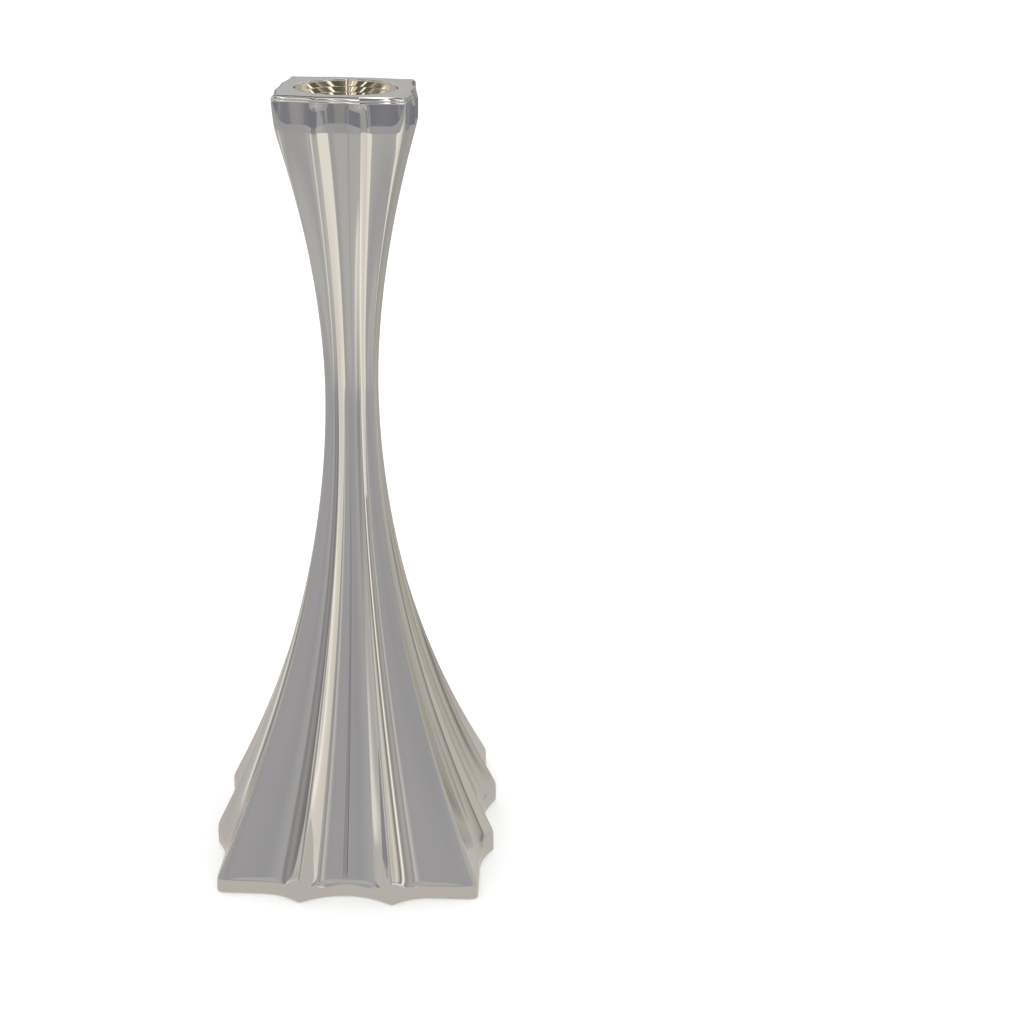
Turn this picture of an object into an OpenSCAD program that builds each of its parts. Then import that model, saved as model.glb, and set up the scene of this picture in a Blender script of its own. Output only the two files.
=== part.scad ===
// Square fluted candlestick: a thin silver shell with twelve ridges and twelve flutes, a flat top
// plate with a round opening, and a stepped candle cup that lifts out. A long bolt clamps the
// socket, the resin core, the iron weight and the pressed base plate together inside the shell.
// Origin: centre of the underside. +Z is up and the front face looks along -Y.

/* [Overall] */
// Height from the table to the top plate
height = 250; // [235:1:270]
// Thickness of the silver shell
wall = 0.9; // [0.7:0.1:1.1]

/* [Foot] */
// Half width of the upright rim round the foot
rim_half = 42.6; // [42:0.1:44]
// Height where the flutes run out over the rim
rim_edge = 4.8; // [4:0.1:6]
// Softness of the turn from the flutes to the rim
rim_blend = 0.6; // [0.4:0.1:1]
// Steepness of the foot flare
foot_power = 1.93; // [1.9:0.01:2.1]

/* [Waist] */
// Height of the narrowest place
waist_z = 160; // [150:1:165]
// Half width at the waist
waist_half = 7.15; // [7:0.05:8]

/* [Top] */
// How far the upper flare grows out past the waist
top_flare = 13.8; // [13.5:0.1:15]
// Steepness of the upper flare
top_power = 1.86; // [1.8:0.02:1.9]
// Depth of the upright band at the top, the plate included
band_depth = 9.6; // [8:0.1:11]
// How far the band's corners stand out past its faces
corner_out = 0.9; // [0.6:0.1:1]
// Thickness of the top plate
plate_thick = 1.2; // [1:0.1:1.5]

/* [Ridges and flutes] */
// Place of a middle ridge along its side at the foot, as a share of the half width
ridge_foot = 0.352; // [0.33:0.002:0.38]
// The same at the waist
ridge_waist = 0.46; // [0.42:0.01:0.48]
// The same at the top
ridge_top = 0.324; // [0.31:0.002:0.36]
// Height of a middle ridge above its flutes at the foot, as a share of the half width
rise_foot = 0.135; // [0.1:0.005:0.15]
// The same at the waist
rise_waist = 0.106; // [0.09:0.002:0.12]
// The same at the top
rise_top = 0.036; // [0.03:0.002:0.05]
// The same round the rim
rise_rim = 0.101; // [0.08:0.001:0.12]
// How far the middle of a side stands out past its corners at the top
lift_top = 0.07; // [0.05:0.005:0.08]
// Hollow of the flutes' floors at the foot, as a share of the half width
hollow_foot = 0.012; // [0.01:0.002:0.03]
// The same at the waist
hollow_waist = 0.03; // [0.01:0.002:0.04]
// The same at the top
hollow_top = 0.005; // [0.002:0.001:0.01]

/* [Socket and cup] */
// Radius of the opening in the top plate
opening_r = 14.8; // [14.6:0.1:15]
// Radius of the bore that grips the candle
candle_r = 11.3; // [11:0.1:11.4]
// Height of each of the three steps below the cup's mouth
step_height = 1.5; // [1.2:0.1:1.6]
// Depth of the cup's underside below the top of the plate
cup_depth = 25.3; // [23:0.1:25.5]
// Thickness of the cup's wall round the candle
cup_wall = 0.6; // [0.5:0.1:0.6]
// Gap between the cup and the socket
cup_gap = 0.15; // [0.1:0.05:0.2]

/* [Inside] */
// Radius of the bolt's shank
bolt_r = 2.5; // [2:0.25:2.5]
// Height of the top of the iron weight
weight_top = 30; // [25:1:35]
// Thickness of the felt
felt_thick = 1.4; // [1:0.1:1.6]
// Thickness of the pressed base plate
base_thick = 1.2; // [1:0.1:1.4]

/* [Hidden] */

// Height of the band's lower edge.
band_z = height - band_depth;
// Widths of a ridge's flanks towards the middle of the side and towards the corner, as shares of the
// half width, at the foot, the waist and the top, and the powers that make the flanks hollow.
flank_in = [0.205, 0.29, 0.19];
flank_out = [0.225, 0.25, 0.1];
flank_power = [1.75, 1.3, 1.1];
rim_flank_out = 0.28;
rim_flank_power = 2;
band_blend = 0.25;
corner_blend = 1.6;
corner_power = 20;
// The ridges sink to this share of their height in the last stretch below the plate.
ridge_end = 0.2;
ridge_end_depth = 2.4;
// Distances from the rim's edge, from the band's edge and below the plate of single rings.
rim_ring_steps = [-1.2, 0, 1, 2.4, 4.2];
band_ring_step = 3;
end_ring_steps = [2.4, 1.2, 0];
foot_rings = 14;
foot_start = 6.2;
top_rings = 11;
ring_crowding = 1.35;
fine = 96;
overcut = 1;

shell_top = height - plate_thick;
mouth_in = 0.9;
mouth_r = opening_r - mouth_in;
mouth_drop = 0.4;
lip_chamfer = 0.4;
cup_r_gap = 0.2;
cup_r = opening_r - cup_r_gap;
cup_floor = 1;
// Share of each step's tread taken by the slope of the wall above it.
step_slope = 0.7;
step_count = 3;
step_in = (mouth_r - candle_r) / step_count;
shoulder_drop = 1.3;
cup_shoulder = mouth_drop + step_count * step_height + shoulder_drop;
stem_r = candle_r + cup_wall;
sleeve_wall = 0.8;
sleeve_floor = 1.2;
head_height = 3;
head_r = 4.5;
head_gap = 0.5;
slot_width = 1.2;
slot_depth = 1.4;
sleeve_depth = cup_depth + head_gap + head_height + sleeve_floor;
seat_z = height - sleeve_depth + sleeve_floor;
sleeve_bottom = height - sleeve_depth;

well_r = 10;
well_height = 7;
base_z = felt_thick;
// Gap between the shell's wall and the plate and felt that close its underside.
seat_gap = 0.12;
well_top = base_z + well_height;
well_gap = 0.3;
washer_r = 5;
washer_thick = 1;
washer_z = well_top - base_thick - washer_thick;
nut_flats = 8;
nut_height = 4;
nut_z = washer_z - nut_height;
bolt_stub = 0.5;
bolt_end = nut_z - bolt_stub;
bolt_gap = 0.1;
core_gap = 0.35;
core_steps = 24;
weight_steps = 8;

// Smaller of two values, with a soft turn of size k between them.
function soft_min(a, b, k) = (a + b - sqrt((a - b) * (a - b) + k * k)) / 2;

// Value at height z that runs from foot to waist to top in two straight stretches.
function along(z, foot, waist, top) =
  z < waist_z
    ? foot + (waist - foot) * z / waist_z
    : waist + (top - waist) * (z - waist_z) / (height - waist_z);

function along3(z, values) = along(z, values[0], values[1], values[2]);

foot_flare = (rim_half - waist_half) / pow(1 - rim_edge / waist_z, foot_power);

// Half width at height z if the flares ran on without a rim or a band.
function flare(z) =
  waist_half
    + foot_flare * pow(max(0, 1 - z / waist_z), foot_power)
    + top_flare * pow(max(0, (z - waist_z) / (height - waist_z)), top_power);

// Half width that the rim or the band allows at x, a share of the half width.
function limit(z, x) =
  z < waist_z
    ? rim_half
    : flare(band_z) + corner_out * pow(abs(x), corner_power);

function blend(z, x) =
  z < waist_z
    ? rim_blend
    : band_blend + corner_blend * pow(abs(x), corner_power);

// Share of a flank's height left at distance away from the ridge, on a flank of the given width.
function flank(away, width, power) = pow(max(0, 1 - away / width), power);

// Height of the two middle ridges at x. All are shares of the half width.
function ridge(x, place, rise, inner, outer, power) =
  rise * flank(abs(abs(x) - place), abs(x) < place ? inner : outer, power);

// Share of the ridges' height left at height z, which drops softly just below the plate.
function ridge_left(z) =
  let (t = max(0, min(1, 1 - (shell_top - z) / ridge_end_depth)))
  1 - (1 - ridge_end) * t * t * (3 - 2 * t);

// How far a side stands out past the line between its corners, at x along it.
function profile(z, x) =
  let (
    place = along(z, ridge_foot, ridge_waist, ridge_top),
    rise = along(z, rise_foot, rise_waist, rise_top) * ridge_left(z),
    outward = min(1, (1 - abs(x)) / (1 - place)),
    across = abs(x) < place ? x / place : 1 - 2 * outward
  )
  ridge(x, place, rise, along3(z, flank_in), along3(z, flank_out), along3(z, flank_power))
    + along(z, 0, 0, lift_top) * outward
    - along(z, hollow_foot, hollow_waist, hollow_top) * (1 - across * across);

// The same round the rim.
function rim_profile(z, x) =
  let (place = along(z, ridge_foot, ridge_waist, ridge_top))
  ridge(x, place, rise_rim, place, rim_flank_out, rim_flank_power);

// A point of the front side's outline at height z, at x from -1 at one corner to 1 at the other.
function side_point(z, x, inset) =
  let (
    bump = profile(z, x),
    limit_bump = z < waist_z ? rim_profile(z, x) : bump,
    flared = flare(z) - inset,
    limited = limit(z, x) - inset,
    k = blend(z, x)
  )
  [
    x * soft_min(flared, limited, k),
    -soft_min(flared * (1 + bump), limited * (1 + limit_bump), k)
  ];

// Places along a side: the corner, the flutes' floors, both flanks of each ridge, and the ridges.
function places(z) =
  let (
    place = along(z, ridge_foot, ridge_waist, ridge_top),
    inner = along3(z, flank_in),
    outer = along3(z, flank_out),
    half = [place + outer, place + outer / 2, place, place - inner / 2, place - inner]
  )
  [
    -1,
    -(1 + place + outer) / 2,
    each [for (x = half) -x],
    0,
    each [for (i = [len(half) - 1 : -1 : 0]) half[i]],
    (1 + place + outer) / 2
  ];

// Outline at height z, inset by the given amount.
function outline(z, inset = 0) = [
  for (k = [0 : 3])
    let (c = cos(90 * k), s = sin(90 * k))
    for (x = places(z))
      let (p = side_point(z, x, inset))
      [p.x * c - p.y * s, p.x * s + p.y * c]
];

ring_points = 4 * len(places(0));

function ring_at(z, inset) = [for (p = outline(z, inset)) [p.x, p.y, z]];

// Heights of the shell's rings, closer together where the flutes meet the rim and the band.
foot_low = rim_edge + foot_start;
ring_heights = [
  0,
  base_z + base_thick,
  for (step = rim_ring_steps) rim_edge + step,
  for (i = [0 : foot_rings]) foot_low + (waist_z - foot_low) * pow(i / foot_rings, ring_crowding),
  for (i = [1 : top_rings]) waist_z + (band_z - waist_z) * (1 - pow(1 - i / top_rings, ring_crowding)),
  band_z + band_ring_step,
  for (step = end_ring_steps) shell_top - step
];

// Outline that fits inside the shell at height z, for what closes its underside.
function seat(z) = outline(z, wall + seat_gap);

// Radius that clears the inside of the shell at height z.
function clear_radius(z) =
  (soft_min(flare(z), limit(z, 0), blend(z, 0)) - wall) * (1 + profile(z, 0)) - core_gap;

// Half section of a turned filling that follows the shell from z0 to z1 round a hole.
function filling(z0, z1, steps, hole) = [
  [hole, z1],
  [hole, z0],
  for (i = [0 : steps]) let (z = z0 + (z1 - z0) * i / steps) [clear_radius(z), z]
];

// Fluted silver shell, from the table to the underside of the top plate.
module body_shell() {
  count = len(ring_heights);
  rings = [
    for (i = [0 : count - 1]) ring_at(ring_heights[i], 0),
    for (i = [count - 1 : -1 : 0]) ring_at(ring_heights[i], wall)
  ];
  total = len(rings);
  faces = [
    for (i = [0 : total - 1])
      for (j = [0 : ring_points - 1])
        let (
          a = i * ring_points + j,
          b = i * ring_points + (j + 1) % ring_points,
          c = ((i + 1) % total) * ring_points + (j + 1) % ring_points,
          d = ((i + 1) % total) * ring_points + j
        )
        each [[a, c, b], [a, d, c]]
  ];
  color("silver") polyhedron([for (ring = rings) each ring], faces);
}

// Flat plate soldered on the shell's upper edge, with a small bevel round the opening.
module top_plate() {
  color("silver") difference() {
    translate([0, 0, shell_top]) linear_extrude(plate_thick) polygon(outline(shell_top));
    translate([0, 0, shell_top - overcut]) cylinder(h = plate_thick + 2 * overcut, r = opening_r, $fn = fine);
    translate([0, 0, height - lip_chamfer])
      cylinder(h = 2 * lip_chamfer, r1 = opening_r, r2 = opening_r + 2 * lip_chamfer, $fn = fine);
  }
}

// Turned housing under the plate: a wide collar with a shoulder, then a tube with a floor.
module socket_sleeve() {
  shoulder = height - cup_shoulder;
  tube_r = stem_r + cup_gap;
  color("gainsboro") rotate_extrude($fn = fine) polygon([
    [opening_r, shell_top],
    [opening_r, shoulder],
    [tube_r, shoulder],
    [tube_r, seat_z],
    [bolt_r + bolt_gap, seat_z],
    [bolt_r + bolt_gap, sleeve_bottom],
    [tube_r + sleeve_wall, sleeve_bottom],
    [tube_r + sleeve_wall, shoulder - sleeve_wall],
    [opening_r + sleeve_wall, shoulder - sleeve_wall],
    [opening_r + sleeve_wall, shell_top]
  ]);
}

// Turned cup with three steps down to the candle bore. It rests on the sleeve's shoulder.
module candle_cup() {
  top = height - mouth_drop;
  shoulder = height - cup_shoulder;
  bottom = height - cup_depth;
  color("gold") rotate_extrude($fn = fine) polygon([
    [0, bottom],
    [stem_r, bottom],
    [stem_r, shoulder],
    [cup_r, shoulder],
    [cup_r, top],
    for (i = [0 : step_count - 1]) each [
      [mouth_r - i * step_in, top - i * step_height],
      [mouth_r - (i + step_slope) * step_in, top - (i + 1) * step_height]
    ],
    [candle_r, top - step_count * step_height],
    [candle_r, bottom + cup_floor],
    [0, bottom + cup_floor]
  ]);
}

// Resin cast round the bolt, which stiffens the thin stem.
module stem_core() {
  color("dimgray") rotate_extrude($fn = fine)
    polygon(filling(weight_top, sleeve_bottom, core_steps, bolt_r + bolt_gap));
}

// Cast iron weight in the foot, with a recess for the base plate's well.
module base_weight() {
  color("darkslategray") difference() {
    rotate_extrude($fn = fine)
      polygon(filling(base_z + base_thick, weight_top, weight_steps, bolt_r + bolt_gap));
    translate([0, 0, base_z]) cylinder(h = well_height, r = well_r + well_gap, $fn = fine);
  }
}

// Pressed steel plate that closes the foot, with a raised well for the washer and the nut.
module base_plate() {
  color("slategray") difference() {
    union() {
      translate([0, 0, base_z]) linear_extrude(base_thick) polygon(seat(base_z + base_thick));
      translate([0, 0, base_z]) cylinder(h = well_height, r = well_r, $fn = fine);
    }
    translate([0, 0, base_z - overcut])
      cylinder(h = well_height + overcut - base_thick, r = well_r - base_thick, $fn = fine);
    translate([0, 0, base_z]) cylinder(h = well_height + overcut, r = bolt_r + bolt_gap, $fn = fine);
  }
}

// Long bolt with a slotted head, from the socket down to the nut.
module tie_bolt() {
  color("lightslategray") difference() {
    union() {
      translate([0, 0, bolt_end]) cylinder(h = seat_z - bolt_end, r = bolt_r, $fn = fine);
      translate([0, 0, seat_z]) cylinder(h = head_height, r = head_r, $fn = fine);
    }
    translate([-head_r - overcut, -slot_width / 2, seat_z + head_height - slot_depth])
      cube([2 * (head_r + overcut), slot_width, slot_depth + overcut]);
  }
}

module washer() {
  color("lightgray") translate([0, 0, washer_z]) difference() {
    cylinder(h = washer_thick, r = washer_r, $fn = fine);
    translate([0, 0, -overcut]) cylinder(h = washer_thick + 2 * overcut, r = bolt_r + bolt_gap, $fn = fine);
  }
}

module hex_nut() {
  color("lightgray") translate([0, 0, nut_z]) difference() {
    cylinder(h = nut_height, r = nut_flats / sqrt(3), $fn = 6);
    translate([0, 0, -overcut]) cylinder(h = nut_height + 2 * overcut, r = bolt_r, $fn = fine);
  }
}

// Felt glued under the base plate, level with the rim.
module felt_pad() {
  color("darkgreen") linear_extrude(felt_thick) polygon(seat(felt_thick));
}

body_shell();
top_plate();
socket_sleeve();
candle_cup();
stem_core();
base_weight();
base_plate();
tie_bolt();
washer();
hex_nut();
felt_pad();
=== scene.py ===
"""Square fluted candlestick: the looks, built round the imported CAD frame."""

import math

import bmesh
import bpy
import numpy as np
from mathutils import Matrix, Vector


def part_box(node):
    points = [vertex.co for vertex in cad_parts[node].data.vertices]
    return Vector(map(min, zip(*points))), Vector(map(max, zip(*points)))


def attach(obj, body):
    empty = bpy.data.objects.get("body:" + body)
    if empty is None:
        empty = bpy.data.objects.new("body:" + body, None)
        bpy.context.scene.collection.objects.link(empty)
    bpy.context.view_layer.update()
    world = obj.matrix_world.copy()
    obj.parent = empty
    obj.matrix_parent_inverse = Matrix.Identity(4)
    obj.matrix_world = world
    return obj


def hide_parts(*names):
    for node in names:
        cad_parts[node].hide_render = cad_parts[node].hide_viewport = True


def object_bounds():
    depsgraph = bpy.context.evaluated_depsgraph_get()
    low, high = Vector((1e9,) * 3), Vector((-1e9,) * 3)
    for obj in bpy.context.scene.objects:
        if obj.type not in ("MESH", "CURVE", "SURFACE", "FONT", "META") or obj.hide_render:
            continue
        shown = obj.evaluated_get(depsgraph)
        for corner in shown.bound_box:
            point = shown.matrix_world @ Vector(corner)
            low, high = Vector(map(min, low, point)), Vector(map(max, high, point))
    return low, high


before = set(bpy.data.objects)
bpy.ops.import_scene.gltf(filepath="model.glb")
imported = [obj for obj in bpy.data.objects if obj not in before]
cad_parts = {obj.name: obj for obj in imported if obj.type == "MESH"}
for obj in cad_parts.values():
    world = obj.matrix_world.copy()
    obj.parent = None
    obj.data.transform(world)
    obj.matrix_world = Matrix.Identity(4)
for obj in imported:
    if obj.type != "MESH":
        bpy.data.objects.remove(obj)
cad_low, cad_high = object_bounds()

MM = 0.001

# ---- Driving dimensions, in metres -------------------------------------------------------------
TOP = cad_high.z
SHELL_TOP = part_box("body_shell")[1].z

RIM_HALF = 42.6 * MM
RIM_EDGE_Z = 4.8 * MM
RIM_SOFTNESS = 0.6 * MM
WAIST_Z = 160 * MM
WAIST_HALF = 7.15 * MM
FOOT_POWER = 1.93
# The flutes turn out a little just above the rim.
LIP = 0.22 * MM
LIP_LENGTH = 0.5 * MM
TOP_FLARE = 13.8 * MM
TOP_POWER = 1.86
BAND_Z = 240.4 * MM
# The band's lower edge is crisp along the faces. At the corners it is soft, and stands further out.
BAND_SOFTNESS = 0.25 * MM
CORNER_SOFTNESS = 1.6 * MM
CORNER_OUT = 0.9 * MM
CORNER_POWER = 20
WALL = 0.9 * MM
FOOT_FLARE = (RIM_HALF - WAIST_HALF) / (1 - RIM_EDGE_Z / WAIST_Z) ** FOOT_POWER
TOP_HALF = WAIST_HALF + TOP_FLARE * ((BAND_Z - WAIST_Z) / (TOP - WAIST_Z)) ** TOP_POWER

# The shape of a side, as shares of the half width, at the table, at the waist and at the top.
# It runs evenly from each to the next.
LEVELS = [0, WAIST_Z, TOP]
RIDGE_PLACE = [0.352, 0.46, 0.324]
RIDGE_HEIGHT = [0.135, 0.106, 0.036]
# Width of a ridge's flanks towards the middle of the side and towards the corner.
FLANK_IN = [0.205, 0.29, 0.19]
FLANK_OUT = [0.225, 0.25, 0.10]
# Power of the flanks: 1 is flat, and more is hollow.
FLANK_POWER = [1.75, 1.3, 1.1]
# How far the middle of a side stands out past the line between its corners.
MIDDLE_LIFT = [0.0, 0.0, 0.07]
FACE_HOLLOW = [0.012, 0.03, 0.005]

# The ridges sink to this share of their height in the last stretch below the plate.
RIDGE_END = 0.2
RIDGE_END_DEPTH = 2.4 * MM

# The same ridges round the foot's upright rim.
RIM_RIDGE_HEIGHT = 0.101
RIM_FLANK_OUT = 0.28
RIM_RIDGE_POWER = 2

# Points round the outline: STEPS across each flute, crowded at the ridges.
FLUTES = 12
STEPS = 36
SIDE = FLUTES // 4 * STEPS
RING = FLUTES * STEPS
CROWDING = 0.72
# Cosine and sine of each quarter turn.
QUARTERS = ((1, 0), (0, 1), (-1, 0), (0, -1))

# Passes that ease the outline: everywhere, near the corners, and near the foot's corners.
EASE_PASSES, CORNER_PASSES, FOOT_PASSES = 3, 12, 36
# How many points from a corner the last two reach.
CORNER_REACH, FOOT_REACH = 7, 12
# Below this height the foot's corners grow rounder.
FOOT_ROUND_TOP = 60 * MM

# The roundings of the shell's lower edge and of the plate's opening.
EDGE_RADIUS = 0.45 * MM
LIP_RADIUS = 0.45 * MM
# Gap between the cup and the plate's opening.
OPENING_GAP = 0.1 * MM

# The cup, as in the CAD, with softened edges.
CANDLE_RADIUS = 11.3 * MM
CUP_WALL = 0.6 * MM
# Width of the rim round the cup's mouth, and depth of the wide head.
MOUTH_RIM = 0.7 * MM
HEAD_DEPTH = 5.8 * MM
STEP_COUNT = 3
STEP_HEIGHT = 1.5 * MM
# Share of a step's width that its wall leans in by.
STEP_SLOPE = 0.7
CUP_FLOOR = 1 * MM
CUP_SEGMENTS = 180

# The felt: its gap to the shell, its soft edge with a point part way round it, and the usual and
# the greatest depth of its nap.
FELT_GAP = 0.15 * MM
FELT_SOFT = 0.5 * MM
FELT_BEVEL = 0.15 * MM
NAP, NAP_LIMIT = 0.05 * MM, 0.2 * MM


# ---- The shell's shape -------------------------------------------------------------------------
def soft_min(a, b, softness):
    """The smaller of a and b, with a rounded change from one to the other."""
    return (a + b - np.sqrt((a - b) ** 2 + softness**2)) / 2


def at_level(z, values):
    """One value for each height, as a column."""
    return np.interp(z, LEVELS, values)[:, None]


def flared_half(z):
    """Half width of the square that the flares follow, with no rim and no band."""
    foot = FOOT_FLARE * np.clip(1 - z / WAIST_Z, 0, 1) ** FOOT_POWER
    foot += LIP * np.exp(-np.clip(z - RIM_EDGE_Z, 0, None) / LIP_LENGTH)
    top = TOP_FLARE * np.clip((z - WAIST_Z) / (TOP - WAIST_Z), 0, 1) ** TOP_POWER
    return WAIST_HALF + foot + top


def ridge_profile(x, place, height, flank_in, flank_out, power):
    """Height of the two cusped ridges of a side at x, all as shares of the half width."""
    beyond = np.abs(x) - place
    share = np.where(beyond < 0, 1 + beyond / flank_in, 1 - beyond / flank_out)
    return height * np.clip(share, 0, 1) ** power


def ridge_left(z):
    """Share of the ridges' height left at each height, which drops softly just below the plate."""
    share = np.clip(1 - (SHELL_TOP - z) / RIDGE_END_DEPTH, 0, 1)
    return (1 - (1 - RIDGE_END) * share**2 * (3 - 2 * share))[:, None]


def side_profile(z, x):
    """How far a side stands out past the line between its corners, as a share of the half width."""
    place = at_level(z, RIDGE_PLACE)
    height, power = at_level(z, RIDGE_HEIGHT) * ridge_left(z), at_level(z, FLANK_POWER)
    bump = ridge_profile(x, place, height, at_level(z, FLANK_IN), at_level(z, FLANK_OUT), power)
    outer = np.clip((1 - np.abs(x)) / (1 - place), 0, 1)
    across = np.where(np.abs(x) < place, x / place, 1 - 2 * outer)
    return bump + at_level(z, MIDDLE_LIFT) * outer - at_level(z, FACE_HOLLOW) * (1 - across**2)


def side_points(z, inset):
    """The front side of the outline, from its left corner to just before its right one."""
    place = at_level(z, RIDGE_PLACE)
    step = np.arange(STEPS) / STEPS
    t = step - CROWDING * np.sin(2 * math.pi * step) / (2 * math.pi)
    x = np.concatenate([-1 + (1 - place) * t, -place + 2 * place * t, place + (1 - place) * t], 1)
    flared = flared_half(z)[:, None] - inset
    low = z[:, None] < WAIST_Z
    cornered = np.abs(x) ** CORNER_POWER
    limit = np.where(low, RIM_HALF, TOP_HALF + CORNER_OUT * cornered) - inset
    softness = np.where(low, RIM_SOFTNESS, BAND_SOFTNESS + CORNER_SOFTNESS * cornered)
    bump = side_profile(z, x)
    rim_bump = ridge_profile(x, place, RIM_RIDGE_HEIGHT, place, RIM_FLANK_OUT, RIM_RIDGE_POWER)
    out = soft_min(flared * (1 + bump), limit * (1 + np.where(low, rim_bump, bump)), softness)
    return np.stack([x * soft_min(flared, limit, softness), -out], -1)


def outlines(z, inset=0.0):
    """Closed outlines, one for each height in z, as an array of (height, point, xyz)."""
    z = np.asarray(z, float)
    side = side_points(z, inset)
    sides = []
    for c, s in QUARTERS:
        turned = [side[..., 0] * c - side[..., 1] * s, side[..., 0] * s + side[..., 1] * c]
        sides.append(np.stack(turned, -1))
    points = rounded(np.concatenate(sides, 1), z)
    return np.concatenate([points, np.repeat(z[:, None, None], RING, 1)], -1)


def rounded(points, z):
    """Eases the ridges a little, the four corners more, and the corners of the foot most."""
    step = np.arange(RING) % SIDE
    from_corner = np.minimum(step, SIDE - step)
    corner = (from_corner < CORNER_REACH)[None, :, None] * 1.0
    foot = (from_corner < FOOT_REACH)[None, :, None] * np.clip(1 - z / FOOT_ROUND_TOP, 0, 1)[:, None, None]
    for weight, count in ((1.0, EASE_PASSES), (corner, CORNER_PASSES), (foot, FOOT_PASSES)):
        for _ in range(count):
            middle = (np.roll(points, 1, axis=1) + np.roll(points, -1, axis=1)) / 2
            points = points + weight * 0.5 * (middle - points)
    return points


# ---- Mesh helpers ------------------------------------------------------------------------------
def new_object(name, vertices, faces, material, smooth=True):
    """An object in the scene with a mesh of these vertices and faces."""
    mesh = bpy.data.meshes.new(name)
    mesh.from_pydata([tuple(v) for v in vertices], [], [tuple(f) for f in faces])
    mesh.validate()
    mesh.polygons.foreach_set("use_smooth", [smooth] * len(mesh.polygons))
    mesh.update()
    mesh.materials.append(material)
    made = bpy.data.objects.new(name, mesh)
    bpy.context.scene.collection.objects.link(made)
    return made


def ring_faces(rings, count, closed):
    """Quads between each ring and the next, and from the last back to the first if closed."""
    faces = []
    for i in range(rings if closed else rings - 1):
        low, high = i * count, ((i + 1) % rings) * count
        for j in range(count):
            k = (j + 1) % count
            faces.append((low + j, low + k, high + k, high + j))
    return faces


def circle(radius, height, angles):
    """Points at these angles round the axis."""
    return np.stack([radius * np.cos(angles), radius * np.sin(angles), height + 0 * angles], -1)


def round_angles(count):
    """Evenly spaced angles of one whole turn."""
    return np.arange(count) * 2 * math.pi / count


def lathe(name, profile, material, segments):
    """A turned skin. The profile lists (radius, height), anticlockwise with the axis at the left."""
    angles = round_angles(segments)
    rings = [circle(radius, height, angles) for radius, height in profile]
    return new_object(name, np.concatenate(rings), ring_faces(len(rings), segments, False), material)


def arc(centre, radius, start, end, steps):
    """Points on an arc in a turned profile, with angles in degrees."""
    turns = np.radians(np.linspace(start, end, steps))
    return [(centre[0] + radius * math.cos(a), centre[1] + radius * math.sin(a)) for a in turns]


def cap(made, ring_start, count, height, upward):
    """Closes a ring of vertices with a fan to a point on the axis."""
    mesh = made.data
    builder = bmesh.new()
    builder.from_mesh(mesh)
    centre = builder.verts.new((0, 0, height))
    builder.verts.ensure_lookup_table()
    for j in range(count):
        a = builder.verts[ring_start + j]
        b = builder.verts[ring_start + (j + 1) % count]
        face = builder.faces.new((a, b, centre) if upward else (b, a, centre))
        face.smooth = True
    builder.to_mesh(mesh)
    builder.free()
    mesh.update()


# ---- Materials ---------------------------------------------------------------------------------
class Shader:
    """A material with a Principled shader and short calls for the nodes that feed it."""

    def __init__(self, name):
        self.material = bpy.data.materials.new(name)
        self.material.use_nodes = True
        self.tree = self.material.node_tree
        self.main = self.tree.nodes["Principled BSDF"]
        self.coords = self.tree.nodes.new("ShaderNodeTexCoord").outputs["Object"]

    def set(self, **values):
        """Sets inputs of the main shader, with an underscore for each space in their names."""
        for name, value in values.items():
            self.main.inputs[name.replace("_", " ")].default_value = value
        return self

    def link(self, source, target):
        """Links a node's output to a socket, or to the main shader's input of that name."""
        self.tree.links.new(source, self.main.inputs[target] if isinstance(target, str) else target)

    def noise(self, scale, detail, stretch=(1, 1, 1), distortion=0.0):
        """Cloudy noise, drawn out along an axis where its stretch is below 1."""
        mapping = self.tree.nodes.new("ShaderNodeMapping")
        mapping.inputs["Scale"].default_value = stretch
        self.link(self.coords, mapping.inputs["Vector"])
        node = self.tree.nodes.new("ShaderNodeTexNoise")
        node.inputs["Scale"].default_value = scale
        node.inputs["Detail"].default_value = detail
        node.inputs["Distortion"].default_value = distortion
        self.link(mapping.outputs["Vector"], node.inputs["Vector"])
        return node.outputs["Fac"]

    def ramp(self, source, *stops):
        """A ramp along source, from stops of (place from 0 to 1, colour or grey)."""
        return ramp_node(self.tree, source, stops)

    def times(self, first, second):
        """The product of two colours."""
        node = self.tree.nodes.new("ShaderNodeMix")
        node.data_type = "RGBA"
        node.blend_type = "MULTIPLY"
        node.inputs[0].default_value = 1
        self.link(first, node.inputs[6])
        self.link(second, node.inputs[7])
        return node.outputs[2]

    def bump(self, source, strength, distance):
        """Fine relief, from dark to light over the distance in metres."""
        node = self.tree.nodes.new("ShaderNodeBump")
        node.inputs["Strength"].default_value = strength
        node.inputs["Distance"].default_value = distance
        self.link(source, node.inputs["Height"])
        self.link(node.outputs["Normal"], "Normal")


def painted_reflection_lines(s):
    """Painted reflection: the factor for a few fine dark and light lines up the middle of each side, from
    rim to waist, that darken and lighten the base colour.
    """
    place = azimuth_place(s.tree, s.coords, repeats=4)
    magnified = s.tree.nodes.new("ShaderNodeMath")
    magnified.operation = "MULTIPLY_ADD"
    magnified.inputs[1].default_value = LINE_ZOOM
    magnified.inputs[2].default_value = (1 - LINE_ZOOM) / 2
    s.link(place, magnified.inputs[0])
    lines = s.ramp(magnified.outputs[0], *PAINTED_REFLECTION_LINES)
    height = part_of(s.tree, s.coords, "Z")
    above_rim = blend_node(s.tree, height, RIM_EDGE_Z, REFLECTION_LINES_WHOLE, WHITE, lines)
    return blend_node(s.tree, height, REFLECTION_LINES_FADE, WAIST_Z, above_rim, WHITE)
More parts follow.
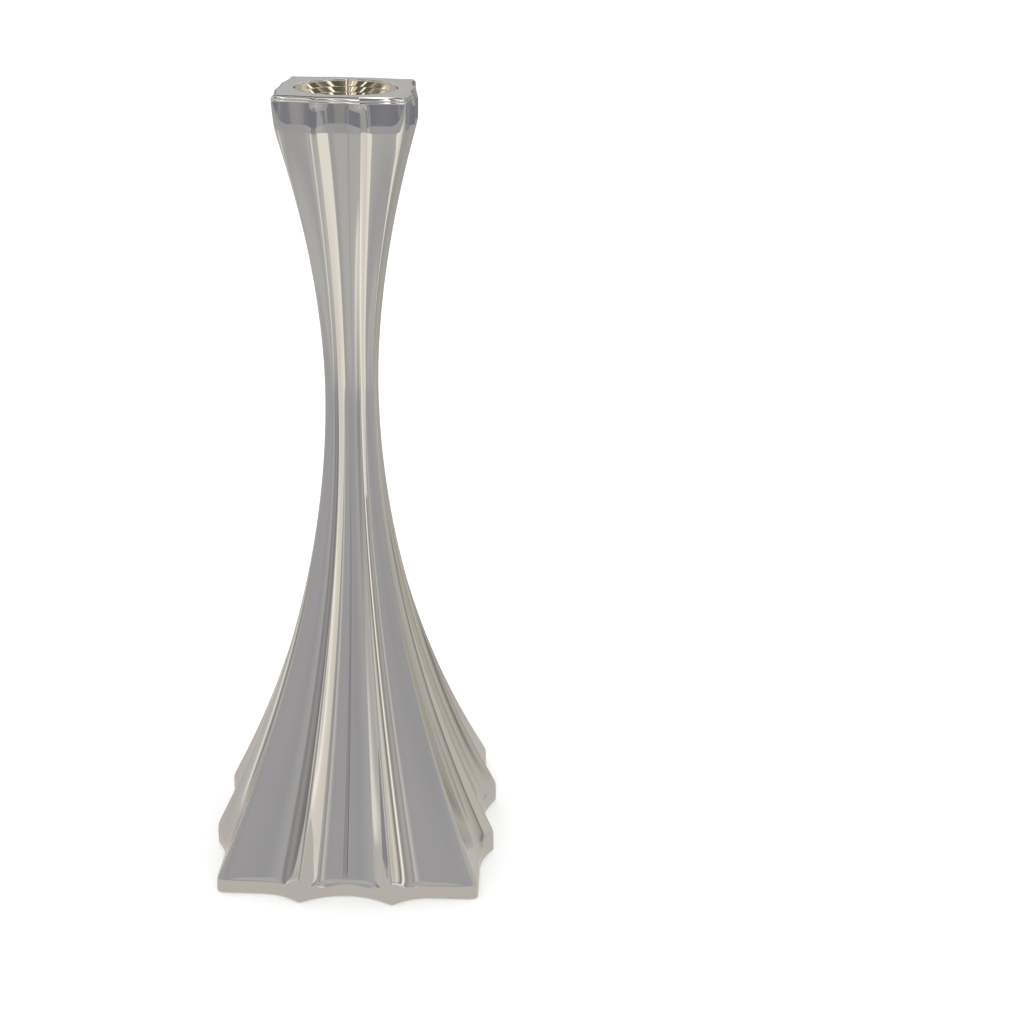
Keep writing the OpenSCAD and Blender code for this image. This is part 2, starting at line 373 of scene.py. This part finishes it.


# The factor of the painted reflection lines across the middle share of a side, one part in LINE_ZOOM of its
# angle.
LINE_ZOOM = 10
PAINTED_REFLECTION_LINES = (
    (0.19, 1.0), (0.23, 1.10), (0.27, 0.84), (0.31, 0.78), (0.40, 0.82), (0.435, 0.70),
    (0.46, 1.12), (0.48, 0.42), (0.515, 0.46), (0.54, 1.08), (0.60, 1.0),
)
# The painted reflection lines reach full strength at the first height and start to fade at the second.
REFLECTION_LINES_WHOLE = 9 * MM
REFLECTION_LINES_FADE = 110 * MM
WHITE = (1, 1, 1)


def polished_silver():
    """Mirror silver with faint polishing lines, slow changes of tone and gloss, and a painted reflection of
    fine dark and light lines up the middle of each side.
    """
    s = Shader("polished_silver").set(Metallic=1.0)
    tone = s.ramp(s.noise(18, 3), (0.35, (0.738, 0.730, 0.722)), (0.65, (0.765, 0.759, 0.752)))
    # Painted reflection: the base colour is darkened and lightened in fine lines up the middle of each
    # side.
    s.link(s.times(tone, painted_reflection_lines(s)), "Base Color")
    s.link(s.ramp(s.noise(60, 5, (1, 1, 0.25)), (0.3, 0.02), (0.75, 0.05)), "Roughness")
    s.bump(s.noise(900, 2, (1, 1, 0.04)), 0.02, 0.00004)
    return s.material


def gilt_brass():
    """Warm gilding with slow changes of tone."""
    s = Shader("gilt_brass").set(Metallic=1.0)
    s.link(s.ramp(s.noise(90, 4), (0.3, (0.64, 0.565, 0.43)), (0.7, (0.84, 0.75, 0.59))), "Base Color")
    s.link(s.ramp(s.noise(200, 4), (0.3, 0.04), (0.7, 0.10)), "Roughness")
    s.bump(s.noise(260, 2), 0.02, 0.0001)
    return s.material


def plated_steel():
    """Zinc plated steel, brushed by handling."""
    s = Shader("plated_steel").set(Metallic=1.0)
    s.link(s.ramp(s.noise(120, 6), (0.3, (0.42, 0.43, 0.45)), (0.7, (0.58, 0.59, 0.60))), "Base Color")
    s.link(s.ramp(s.noise(300, 5), (0.3, 0.28), (0.7, 0.46)), "Roughness")
    s.bump(s.noise(1500, 3, (1, 1, 0.1)), 0.2, 0.00005)
    return s.material


def cast_iron():
    """Rough grey iron."""
    s = Shader("cast_iron").set(Metallic=0.85)
    s.link(s.ramp(s.noise(160, 8), (0.3, (0.045, 0.045, 0.048)), (0.7, (0.10, 0.10, 0.105))), "Base Color")
    s.link(s.ramp(s.noise(400, 6), (0.3, 0.55), (0.7, 0.8)), "Roughness")
    s.bump(s.noise(700, 8), 0.6, 0.0003)
    return s.material


def cast_resin():
    """Dark brown resin with a dull skin."""
    s = Shader("cast_resin")
    s.link(s.ramp(s.noise(90, 6), (0.3, (0.050, 0.040, 0.034)), (0.7, (0.085, 0.070, 0.058))), "Base Color")
    s.link(s.ramp(s.noise(220, 4), (0.3, 0.32), (0.7, 0.5)), "Roughness")
    s.bump(s.noise(350, 5), 0.3, 0.0002)
    return s.material


def green_felt():
    """Short matted wool."""
    s = Shader("green_felt").set(Sheen_Weight=0.6, Sheen_Roughness=0.5)
    fibres = s.noise(1400, 10, distortion=1.5)
    s.link(s.ramp(fibres, (0.3, (0.012, 0.045, 0.026)), (0.72, (0.045, 0.115, 0.070))), "Base Color")
    s.link(s.ramp(fibres, (0.2, 0.85), (0.8, 1.0)), "Roughness")
    s.bump(fibres, 0.8, 0.0003)
    return s.material


# ---- The pieces --------------------------------------------------------------------------------
# Stretches of evenly spaced rings up the outer wall, in mm: first, last and count.
RING_STRETCHES = (
    (0.5, 3, 4), (3.3, 12, 30), (12.8, 36, 18), (38, 156, 40), (160, 232, 26), (234, 239.6, 7),
)
# Single rings round the band's lower edge, in mm from it, and the rings in the band above them.
BAND_EDGE_RINGS = (-0.35, -0.2, -0.08, 0, 0.08, 0.2, 0.35)
BAND_START, BAND_RINGS = 0.7 * MM, 14
# The inner wall: an even stretch down to its last height, and then single rings.
INNER_RINGS, INNER_LOW = 40, 8 * MM
INNER_FOOT = [6 * MM, 3 * MM, 0.0]
# Angles of the rings on the shell's lower edge, in degrees.
EDGE_ANGLES = [0, 25, 50, 70]


def shell_heights():
    """Heights of the outer wall's rings, closer together at the rim and at the band."""
    heights = [z * MM for first, last, n in RING_STRETCHES for z in np.linspace(first, last, n)]
    heights += [BAND_Z + dz * MM for dz in BAND_EDGE_RINGS]
    return heights + list(np.linspace(BAND_Z + BAND_START, SHELL_TOP, BAND_RINGS))


def body_shell(material):
    """The fluted silver shell, with a rounded lower edge and its inner wall."""
    edge = []
    for a in np.radians(EDGE_ANGLES):
        edge.append(outlines([EDGE_RADIUS * (1 - math.cos(a))], EDGE_RADIUS * (1 - math.sin(a))))
    outer = outlines(shell_heights())
    inner_heights = np.concatenate([np.linspace(SHELL_TOP, INNER_LOW, INNER_RINGS), INNER_FOOT])
    inner = outlines(inner_heights, WALL)
    rings = np.concatenate(edge + [outer, inner])
    faces = ring_faces(len(rings), RING, closed=True)
    made = new_object("fluted_shell", rings.reshape(-1, 3), faces, material)
    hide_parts("body_shell")
    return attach(made, "candlestick")


# Angles of the rings on the plate's outer edge and on its lip, in degrees, and the places of the
# rings between them, as shares of the way in.
PLATE_EDGE_ANGLES = [0, 15, 30, 45, 60, 75, 90]
LIP_ANGLES = [25, 50, 75, 90]
PLATE_SHARES = (0.04, 0.3, 0.65, 0.94, 1.0)


def top_plate(material):
    """The flat plate, with an outer edge that rounds over the shell and a lip round the opening."""
    thick = TOP - SHELL_TOP
    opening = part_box("candle_cup")[1].x + OPENING_GAP
    rings = []
    for a in np.radians(PLATE_EDGE_ANGLES):
        ring = outlines([SHELL_TOP], thick * (1 - math.cos(a)))[0]
        ring[:, 2] = SHELL_TOP + thick * math.sin(a)
        rings.append(ring)
    outside = rings[-1]
    angles = np.arctan2(outside[:, 1], outside[:, 0])
    mouth = circle(opening + LIP_RADIUS, TOP, angles)
    rings += [outside + (mouth - outside) * share for share in PLATE_SHARES]
    for a in np.radians(LIP_ANGLES):
        radius = opening + LIP_RADIUS * (1 - math.sin(a))
        rings.append(circle(radius, TOP - LIP_RADIUS * (1 - math.cos(a)), angles))
    rings.append(circle(opening, SHELL_TOP, angles))
    faces = ring_faces(len(rings), RING, closed=True)
    made = new_object("top_plate_polished", np.concatenate(rings), faces, material)
    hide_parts("top_plate")
    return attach(made, "candlestick")


# Radii of the cup's softened edges: the foot of its tube, its mouth, its steps, the corners under
# them, and the edge of its floor.
TUBE_SOFT, MOUTH_SOFT, STEP_SOFT = 0.5 * MM, 0.3 * MM, 0.16 * MM
STEP_FILLET, FLOOR_SOFT = 0.07 * MM, 0.6 * MM
# Height above the floor of a ring part way up the bore.
BORE_RING = 8 * MM


def cup_outside(bottom, top, radius):
    """The outer half of the cup's section, from the foot of its tube up to its mouth."""
    tube = CANDLE_RADIUS + CUP_WALL
    shoulder = top - HEAD_DEPTH
    profile = arc((tube - TUBE_SOFT, bottom + TUBE_SOFT), TUBE_SOFT, -90, 0, 5)
    profile += [(tube, shoulder - STEP_SOFT), (tube + STEP_SOFT, shoulder)]
    profile += [(radius - STEP_SOFT, shoulder), (radius, shoulder + STEP_SOFT), (radius, top - MOUTH_SOFT)]
    return profile + arc((radius - MOUTH_SOFT, top - MOUTH_SOFT), MOUTH_SOFT, 20, 90, 4)


def cup_inside(bottom, top, radius):
    """The inner half of the cup's section, from its mouth down the three steps to its floor."""
    wall_radius, z = radius - MOUTH_RIM, top
    step_in = (wall_radius - CANDLE_RADIUS) / STEP_COUNT
    slope = STEP_SLOPE * step_in / STEP_HEIGHT
    profile = []
    for _ in range(STEP_COUNT):
        profile += arc((wall_radius + STEP_SOFT, z - STEP_SOFT), STEP_SOFT, 90, 150, 4)
        z -= STEP_HEIGHT
        foot_radius = wall_radius - slope * STEP_HEIGHT
        profile += [(foot_radius + slope * STEP_FILLET, z + STEP_FILLET), (foot_radius - STEP_FILLET, z)]
        wall_radius -= step_in
    profile += arc((CANDLE_RADIUS + STEP_SOFT, z - STEP_SOFT), STEP_SOFT, 90, 180, 4)
    floor_z = bottom + CUP_FLOOR
    profile += [(CANDLE_RADIUS, floor_z + BORE_RING), (CANDLE_RADIUS, floor_z + FLOOR_SOFT)]
    corner = (CANDLE_RADIUS - FLOOR_SOFT, floor_z + FLOOR_SOFT)
    return profile + arc(corner, -FLOOR_SOFT, 200, 270, 4)


def candle_cup(material):
    """The gilt cup, with its wide stepped mouth and its bore for the candle."""
    low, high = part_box("candle_cup")
    profile = cup_outside(low.z, high.z, high.x) + cup_inside(low.z, high.z, high.x)
    made = lathe("gilt_cup", profile, material, CUP_SEGMENTS)
    cap(made, 0, CUP_SEGMENTS, low.z, upward=False)
    cap(made, (len(profile) - 1) * CUP_SEGMENTS, CUP_SEGMENTS, profile[-1][1], upward=True)
    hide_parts("candle_cup")
    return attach(made, "cup")


# Rings under the felt, in to this share of its outline.
FELT_RINGS, FELT_MIDDLE = 34, 0.02


def felt_pad(material):
    """The felt, cut to the foot's outline, with a soft edge and an uneven nap underneath."""
    low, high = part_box("felt_pad")
    levels = (
        (high.z, 0), (low.z + FELT_SOFT, 0), (low.z + FELT_BEVEL, FELT_BEVEL), (low.z, FELT_SOFT),
    )
    edge = []
    for z, inset in levels:
        ring = outlines([0.0], WALL + FELT_GAP + inset)[0]
        ring[:, 2] = z
        edge.append(ring)
    shares = np.linspace(1, FELT_MIDDLE, FELT_RINGS)[1:]
    under = [edge[-1] * (share, share, 1) for share in shares]
    rings = np.stack([edge[0] * (FELT_MIDDLE, FELT_MIDDLE, 1)] + edge + under)[:, ::2]
    nap = np.abs(np.random.default_rng(7).normal(0, NAP, rings.shape[:2]))
    nap[:3] = 0
    rings[..., 2] += np.minimum(nap, NAP_LIMIT)
    count = RING // 2
    faces = [face[::-1] for face in ring_faces(len(rings), count, closed=False)]
    made = new_object("felt_base", rings.reshape(-1, 3), faces, material)
    cap(made, 0, count, high.z, upward=True)
    cap(made, (len(rings) - 1) * count, count, low.z, upward=False)
    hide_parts("felt_pad")
    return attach(made, "candlestick")


def dress_cad_nodes(silver, steel):
    """Procedural materials for the CAD nodes that stay as they are."""
    finishes = {
        "socket_sleeve": silver,
        "stem_core": cast_resin(),
        "base_weight": cast_iron(),
        "base_plate": steel,
        "tie_bolt": steel,
        "washer": steel,
        "hex_nut": steel,
    }
    for name, material in finishes.items():
        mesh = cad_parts[name].data
        mesh.materials.clear()
        mesh.materials.append(material)


# ---- The studio --------------------------------------------------------------------------------
def for_mirrors_only(thing):
    """Lets nothing but mirrored rays see a card."""
    thing.visible_camera = False
    thing.visible_glossy = True
    thing.visible_diffuse = False
    thing.visible_transmission = False
    thing.visible_volume_scatter = False
    thing.visible_shadow = False


def ramp_node(tree, source, stops):
    """A ramp along source, from stops of (place from 0 to 1, colour or grey)."""
    node = tree.nodes.new("ShaderNodeValToRGB")
    tree.links.new(source, node.inputs["Fac"])
    elements = node.color_ramp.elements
    while len(elements) < len(stops):
        elements.new(0.5)
    for element, (place, colour) in zip(elements, stops):
        element.position = place
        element.color = (*colour, 1) if hasattr(colour, "__len__") else (colour, colour, colour, 1)
    return node.outputs["Color"]


def part_of(tree, vector, axis):
    """One coordinate of a vector."""
    split = tree.nodes.new("ShaderNodeSeparateXYZ")
    tree.links.new(vector, split.inputs[0])
    return split.outputs[axis]


def blend_node(tree, source, low, high, first, second):
    """The colour first where source is below low, second above high, and a soft mix between."""
    share = tree.nodes.new("ShaderNodeMapRange")
    share.interpolation_type = "SMOOTHSTEP"
    share.inputs["From Min"].default_value = low
    share.inputs["From Max"].default_value = high
    tree.links.new(source, share.inputs["Value"])
    mix = tree.nodes.new("ShaderNodeMix")
    mix.data_type = "RGBA"
    tree.links.new(share.outputs[0], mix.inputs[0])
    for socket, colour in ((mix.inputs[6], first), (mix.inputs[7], second)):
        if isinstance(colour, tuple):
            socket.default_value = (*colour, 1)
        else:
            tree.links.new(colour, socket)
    return mix.outputs[2]


def emission(name):
    """A material that only glows. Returns it with its tree and its emission node."""
    material = bpy.data.materials.new(name)
    material.use_nodes = True
    tree = material.node_tree
    tree.nodes.clear()
    glow = tree.nodes.new("ShaderNodeEmission")
    output = tree.nodes.new("ShaderNodeOutputMaterial")
    tree.links.new(glow.outputs[0], output.inputs["Surface"])
    return material, tree, glow


def flat_card(name, material, vertices):
    """One flat face, not attached to any body."""
    made = new_object(name, vertices, [tuple(range(len(vertices)))], material, smooth=False)
    return made


def disc(name, material, radius, height):
    """A flat round card about the axis."""
    return flat_card(name, material, circle(radius, height, round_angles(DISC_CORNERS)))


# The floor and the cards lie in thin layers just below the felt.
FLOOR_Z, TABLE_Z, CARD_Z = -0.2 * MM, -0.1 * MM, -0.05 * MM
FLOOR_RADIUS = 6.0
DISC_CORNERS = 96
TABLE_RADIUS = 1.08
# The table's colour close to the foot, and how far out it changes to TABLE and then to AROUND.
NEAR_COLOUR = (0.60, 0.565, 0.51)
NEAR_TABLE = (0.06, 0.20)
FAR_TABLE = (0.36, 0.50)
# Half the width of the seam between the front and the back half of the surroundings.
SEAM = 0.001
# Corners of the warm card, in metres.
CARD_CORNERS = (
    (0.026, -0.125), (0.085, -0.42), (0.55, -0.45), (0.60, -0.16), (0.10, -0.06), (0.10, -0.09),
)


def floor():
    """The pale floor that the camera sees."""
    pale = Shader("pale_floor").set(Base_Color=(0.96, 0.96, 0.96, 1), Roughness=0.9)
    pale.set(Emission_Color=(*WHITE, 1), Emission_Strength=0.12)
    disc("floor", pale.material, FLOOR_RADIUS, FLOOR_Z).visible_glossy = False


def azimuth_place(tree, direction, repeats=2):
    """Where a direction lies in one part of a turn round the object: 0 at the part's left end and 1
    at its right one. The front is the middle of a part. With 2 repeats a part is a half turn."""
    turn = tree.nodes.new("ShaderNodeMapping")
    turn.inputs["Rotation"].default_value[2] = math.pi / 2
    azimuth = tree.nodes.new("ShaderNodeTexGradient")
    azimuth.gradient_type = "RADIAL"
    tree.links.new(direction, turn.inputs["Vector"])
    tree.links.new(turn.outputs["Vector"], azimuth.inputs["Vector"])
    parts = tree.nodes.new("ShaderNodeMath")
    parts.operation = "MULTIPLY_ADD"
    parts.inputs[1].default_value = repeats
    parts.inputs[2].default_value = 0.5
    fraction = tree.nodes.new("ShaderNodeMath")
    fraction.operation = "FRACT"
    tree.links.new(azimuth.outputs["Fac"], parts.inputs[0])
    tree.links.new(parts.outputs[0], fraction.inputs[0])
    return fraction.outputs[0]


def by_azimuth(stops):
    """Stops at azimuths in degrees, as stops along one half turn."""
    return [(0.5 + azimuth / 180, colour) for azimuth, colour in stops]


def round_the_object(tree, direction, front, back):
    """A colour by azimuth, from one list of stops for the front half and one for the back half."""
    place = azimuth_place(tree, direction)
    depth = part_of(tree, direction, "Y")
    front_colour = ramp_node(tree, place, by_azimuth(front))
    back_colour = ramp_node(tree, place, by_azimuth(back))
    return blend_node(tree, depth, -SEAM, SEAM, front_colour, back_colour)


def table():
    """The glow of the table in the mirror of the silver: warm near the foot, and grey further out."""
    material, tree, glow = emission("table_glow")
    coords = tree.nodes.new("ShaderNodeTexCoord").outputs["Object"]
    length = tree.nodes.new("ShaderNodeVectorMath")
    length.operation = "LENGTH"
    tree.links.new(coords, length.inputs[0])
    distance = length.outputs["Value"]
    grey = round_the_object(tree, coords, TABLE, TABLE_BEHIND)
    far = round_the_object(tree, coords, AROUND, AROUND_BEHIND)
    colour = blend_node(tree, distance, *NEAR_TABLE, NEAR_COLOUR, grey)
    colour = blend_node(tree, distance, *FAR_TABLE, colour, far)
    tree.links.new(colour, glow.inputs["Color"])
    for_mirrors_only(disc("table_card", material, TABLE_RADIUS, TABLE_Z))


def bounce_card():
    """A warm card lying on the table at the right of the front."""
    material, tree, glow = emission("bounce_glow")
    coords = tree.nodes.new("ShaderNodeTexCoord").outputs["Object"]
    colour = ramp_node(tree, azimuth_place(tree, coords), by_azimuth(CARD))
    tree.links.new(colour, glow.inputs["Color"])
    vertices = [(x, y, CARD_Z) for x, y in CARD_CORNERS]
    for_mirrors_only(flat_card("bounce_card", material, vertices))


# What the silver mirrors of the table, as (azimuth in degrees, colour). Azimuth 0 is in front and
# 90 at the right. In the lists for the back half, 0 is behind the object and 90 at the left.
TABLE = (
    (-90, (0.56, 0.55, 0.52)), (-75, (0.62, 0.60, 0.57)), (-69, (0.52, 0.51, 0.48)),
    (-62, (0.60, 0.585, 0.54)), (-57, (0.88, 0.85, 0.77)), (-51, (0.92, 0.89, 0.81)),
    (-48, (0.56, 0.54, 0.51)), (-40, (0.52, 0.51, 0.50)), (-30, (0.53, 0.515, 0.50)),
    (-23, (0.44, 0.435, 0.43)), (-16, (0.53, 0.52, 0.50)), (-8, (0.535, 0.52, 0.505)),
    (-3, (0.46, 0.45, 0.44)), (3, (0.44, 0.435, 0.43)), (9, (0.53, 0.515, 0.50)),
    (45, (0.60, 0.57, 0.52)), (75, (0.62, 0.585, 0.52)), (90, (0.50, 0.475, 0.42)),
)
TABLE_BEHIND = (
    (-90, (0.46, 0.44, 0.39)), (-87, (0.22, 0.20, 0.17)), (-84, (0.47, 0.445, 0.39)),
    (-77, (0.60, 0.575, 0.50)), (-73, (0.40, 0.38, 0.33)), (-66, (0.52, 0.49, 0.43)),
    (-50, (0.50, 0.48, 0.42)), (-38, (0.44, 0.43, 0.39)), (-24, (0.38, 0.375, 0.36)),
    (-10, (0.36, 0.355, 0.35)), (-5, (0.19, 0.19, 0.19)), (5, (0.19, 0.19, 0.19)),
    (10, (0.36, 0.355, 0.35)), (24, (0.38, 0.375, 0.36)), (38, (0.50, 0.49, 0.47)),
    (58, (0.57, 0.555, 0.53)), (68, (0.33, 0.32, 0.30)), (74, (0.36, 0.35, 0.33)),
    (78, (1.02, 0.98, 0.88)), (82, (0.62, 0.60, 0.57)), (90, (0.56, 0.55, 0.52)),
)
# The same for the warm card.
CARD = (
    (0, (0.99, 0.95, 0.85)), (28, (0.96, 0.91, 0.80)), (36, (0.90, 0.85, 0.75)),
    (47, (0.80, 0.755, 0.67)), (56, (0.87, 0.82, 0.73)), (60, (1.15, 1.10, 0.98)),
    (62.5, (0.85, 0.81, 0.73)), (65.5, (0.30, 0.28, 0.26)), (69, (0.28, 0.27, 0.25)),
    (72, (0.85, 0.81, 0.73)), (76, (0.60, 0.57, 0.50)), (80, (0.62, 0.59, 0.52)),
)
# The same for the studio round the object at eye level, and for the far part of the table.
AROUND = (
    (-90, (0.58, 0.56, 0.50)), (-86, (0.72, 0.69, 0.63)), (-82.5, (1.00, 0.96, 0.86)),
    (-79, (0.20, 0.19, 0.19)), (-75, (0.33, 0.32, 0.32)), (-69, (0.38, 0.37, 0.37)),
    (-64, (0.305, 0.30, 0.30)), (-58, (0.31, 0.305, 0.30)), (-52, (0.47, 0.46, 0.46)),
    (-40, (0.47, 0.46, 0.455)), (-22, (0.43, 0.425, 0.43)), (-10, (0.40, 0.395, 0.405)),
    (-3, (0.43, 0.42, 0.43)), (14, (0.42, 0.41, 0.42)), (21, (0.51, 0.50, 0.49)),
    (28, (0.68, 0.66, 0.62)), (32, (0.56, 0.54, 0.51)), (36, (0.36, 0.355, 0.34)),
    (43, (0.50, 0.48, 0.46)), (50, (0.46, 0.44, 0.43)), (55, (0.34, 0.32, 0.31)),
    (58.5, (0.50, 0.47, 0.44)), (60.5, (1.30, 1.26, 1.12)), (62.5, (0.90, 0.86, 0.74)),
    (65, (0.20, 0.18, 0.16)), (71, (0.85, 0.81, 0.71)), (75, (0.62, 0.59, 0.52)),
)
AROUND_BEHIND = (
    (-90, (0.50, 0.47, 0.40)), (-88, (0.24, 0.22, 0.19)), (-85, (0.46, 0.445, 0.41)),
    (-78, (0.56, 0.545, 0.50)), (-60, (0.46, 0.45, 0.42)), (-40, (0.46, 0.44, 0.41)),
    (-24, (0.38, 0.375, 0.37)), (-10, (0.36, 0.355, 0.35)), (-5, (0.20, 0.20, 0.20)),
    (5, (0.20, 0.20, 0.20)), (10, (0.36, 0.355, 0.35)), (24, (0.38, 0.375, 0.37)),
    (35, (0.60, 0.58, 0.54)), (50, (0.34, 0.33, 0.33)), (70, (0.52, 0.51, 0.49)),
    (90, (0.58, 0.56, 0.50)),
)
# The darker horizon, which only the band under the top plate mirrors, as (azimuth, brightness).
HORIZON = (
    (-90, 0.30), (-75, 0.245), (-45, 0.235), (-28, 0.25), (-23, 0.25), (-21.6, 0.28),
    (-20.8, 0.385), (-19.2, 0.37), (-18.4, 0.26), (-14, 0.255), (-11.5, 0.28), (-9, 0.335),
    (-6.5, 0.32), (-5, 0.235), (2, 0.245), (6, 0.26), (9, 0.215), (11, 0.33), (13, 0.41),
    (16, 0.35), (18.5, 0.22), (20, 0.45), (24, 0.42), (29, 0.24), (34, 0.30), (42, 0.46),
    (48, 0.44), (60, 0.32), (90, 0.30),
)
# The brightness above which the horizon is warm and below which it is cool, and the two tints.
HORIZON_DIM = 0.3
HORIZON_WARM = (1, 0.985, 0.96)
HORIZON_COOL = (1, 1, 1.08)
# Azimuth and colour again, for the lamps and gaps overhead, which the cup and the rounded edges mirror.
OVERHEAD = (
    (-90, (0.28, 0.27, 0.25)), (-84, (0.60, 0.59, 0.56)), (-78, (0.14, 0.14, 0.13)),
    (-61, (0.12, 0.12, 0.11)), (-57, (2.60, 2.58, 2.47)), (-53, (0.16, 0.16, 0.15)),
    (-34, (0.13, 0.13, 0.12)), (-29, (1.30, 1.28, 1.21)), (-22, (0.50, 0.49, 0.46)),
    (-17, (2.20, 2.18, 2.10)), (-13, (0.24, 0.23, 0.21)), (-9, (0.24, 0.23, 0.21)),
    (-7.5, (2.60, 2.58, 2.47)), (-6, (0.26, 0.25, 0.23)), (3, (0.26, 0.25, 0.23)),
    (4.5, (2.80, 2.78, 2.66)), (7, (0.26, 0.25, 0.23)), (30, (0.13, 0.13, 0.12)),
    (54, (0.13, 0.13, 0.12)), (60, (2.40, 2.38, 2.28)), (66, (1.00, 0.99, 0.95)),
    (71, (0.16, 0.16, 0.15)), (90, (0.28, 0.27, 0.25)),
)


# The light ring that the flat plate mirrors: its colour, radius, lower and upper edge, and corners.
RING_COLOUR = (0.515, 0.505, 0.50)
RING_RADIUS = 2.0
RING_EDGES = (0.46, 0.95)
RING_CORNERS = 72
# Heights of a mirrored direction, from -1 straight down to 1 straight up, between which the sky
# changes from the horizon to the studio, then to an even grey, and then to the lamps overhead.
HORIZON_TO_AROUND = (-0.145, -0.10)
AROUND_TO_GREY = (0.24, 0.36)
GREY_TO_OVERHEAD = (0.42, 0.62)
SKY_GREY = (0.70, 0.695, 0.69)
# What the camera and the floor get from the sky.
SKY_WHITE = (1.04, 1.04, 1.04)


def horizon_colours():
    """The horizon's stops as (azimuth, colour), with each colour to two decimals."""
    stops = []
    for azimuth, brightness in HORIZON:
        tint = HORIZON_WARM if brightness > HORIZON_DIM else HORIZON_COOL
        stops.append((azimuth, tuple(round(brightness * share, 2) for share in tint)))
    return stops


def sky_card():
    """A light ring far away, low enough that the flat top plate mirrors it."""
    material, _, glow = emission("sky_glow")
    glow.inputs["Color"].default_value = (*RING_COLOUR, 1)
    angles = round_angles(RING_CORNERS)
    vertices = np.concatenate([circle(RING_RADIUS, z, angles) for z in RING_EDGES])
    card = new_object("sky_card", vertices, ring_faces(2, RING_CORNERS, closed=False), material)
    for_mirrors_only(card)


def sky():
    """What the silver mirrors of the studio. The camera and the floor get an even white instead."""
    world = bpy.data.worlds.new("studio")
    bpy.context.scene.world = world
    world.use_nodes = True
    tree = world.node_tree
    direction = tree.nodes.new("ShaderNodeTexCoord").outputs["Generated"]
    place = azimuth_place(tree, direction)
    height = part_of(tree, direction, "Z")
    around = round_the_object(tree, direction, AROUND, AROUND_BEHIND)
    horizon = ramp_node(tree, place, by_azimuth(horizon_colours()))
    overhead = ramp_node(tree, place, by_azimuth(OVERHEAD))
    mirrored = blend_node(tree, height, *HORIZON_TO_AROUND, horizon, around)
    mirrored = blend_node(tree, height, *AROUND_TO_GREY, mirrored, SKY_GREY)
    mirrored = blend_node(tree, height, *GREY_TO_OVERHEAD, mirrored, overhead)
    path = tree.nodes.new("ShaderNodeLightPath")
    seen = blend_node(tree, path.outputs["Is Glossy Ray"], 0, 1, SKY_WHITE, mirrored)
    tree.links.new(seen, tree.nodes["Background"].inputs["Color"])


def lamp(name, place, size, power):
    """A soft square lamp that looks at the origin, and that the silver does not mirror."""
    light = bpy.data.lights.new(name, "AREA")
    light.size = size
    light.energy = power
    made = bpy.data.objects.new(name, light)
    made.location = place
    made.rotation_euler = (-Vector(place)).to_track_quat("-Z", "Y").to_euler()
    made.visible_glossy = False
    bpy.context.scene.collection.objects.link(made)


# The camera's place, its lens and sensor in mm, and its turns in radians: round the vertical, down
# from level, and round its own axis.
CAMERA_PLACE = (0.0538, -0.4589, 0.3190)
LENS, SENSOR = 55.23, 36
CAMERA_YAW, CAMERA_DOWN, CAMERA_ROLL = 0.0077, 0.4112, 0.0233
CLIP_NEAR, CLIP_FAR = 0.01, 50


def camera():
    """The photograph's view: a little to the right of the front, and looking down."""
    data = bpy.data.cameras.new("camera")
    data.lens = LENS
    data.sensor_width = SENSOR
    data.clip_start = CLIP_NEAR
    data.clip_end = CLIP_FAR
    made = bpy.data.objects.new("camera", data)
    yaw = Matrix.Rotation(CAMERA_YAW, 4, "Z")
    tilt = Matrix.Rotation(math.pi / 2 - CAMERA_DOWN, 4, "X")
    roll = Matrix.Rotation(CAMERA_ROLL, 4, "Z")
    made.matrix_world = Matrix.Translation(CAMERA_PLACE) @ (yaw @ tilt) @ roll
    bpy.context.scene.collection.objects.link(made)
    bpy.context.scene.camera = made


silver = polished_silver()
body_shell(silver)
top_plate(silver)
candle_cup(gilt_brass())
felt_pad(green_felt())
dress_cad_nodes(silver, plated_steel())

floor()
table()
bounce_card()
sky_card()
sky()
lamp("key_lamp", (-0.5, 0.3, 1.3), 0.9, 1.6)
lamp("fill_lamp", (0.7, -0.3, 1.1), 0.9, 0.8)
camera()
bpy.context.scene.view_settings.view_transform = "Standard"
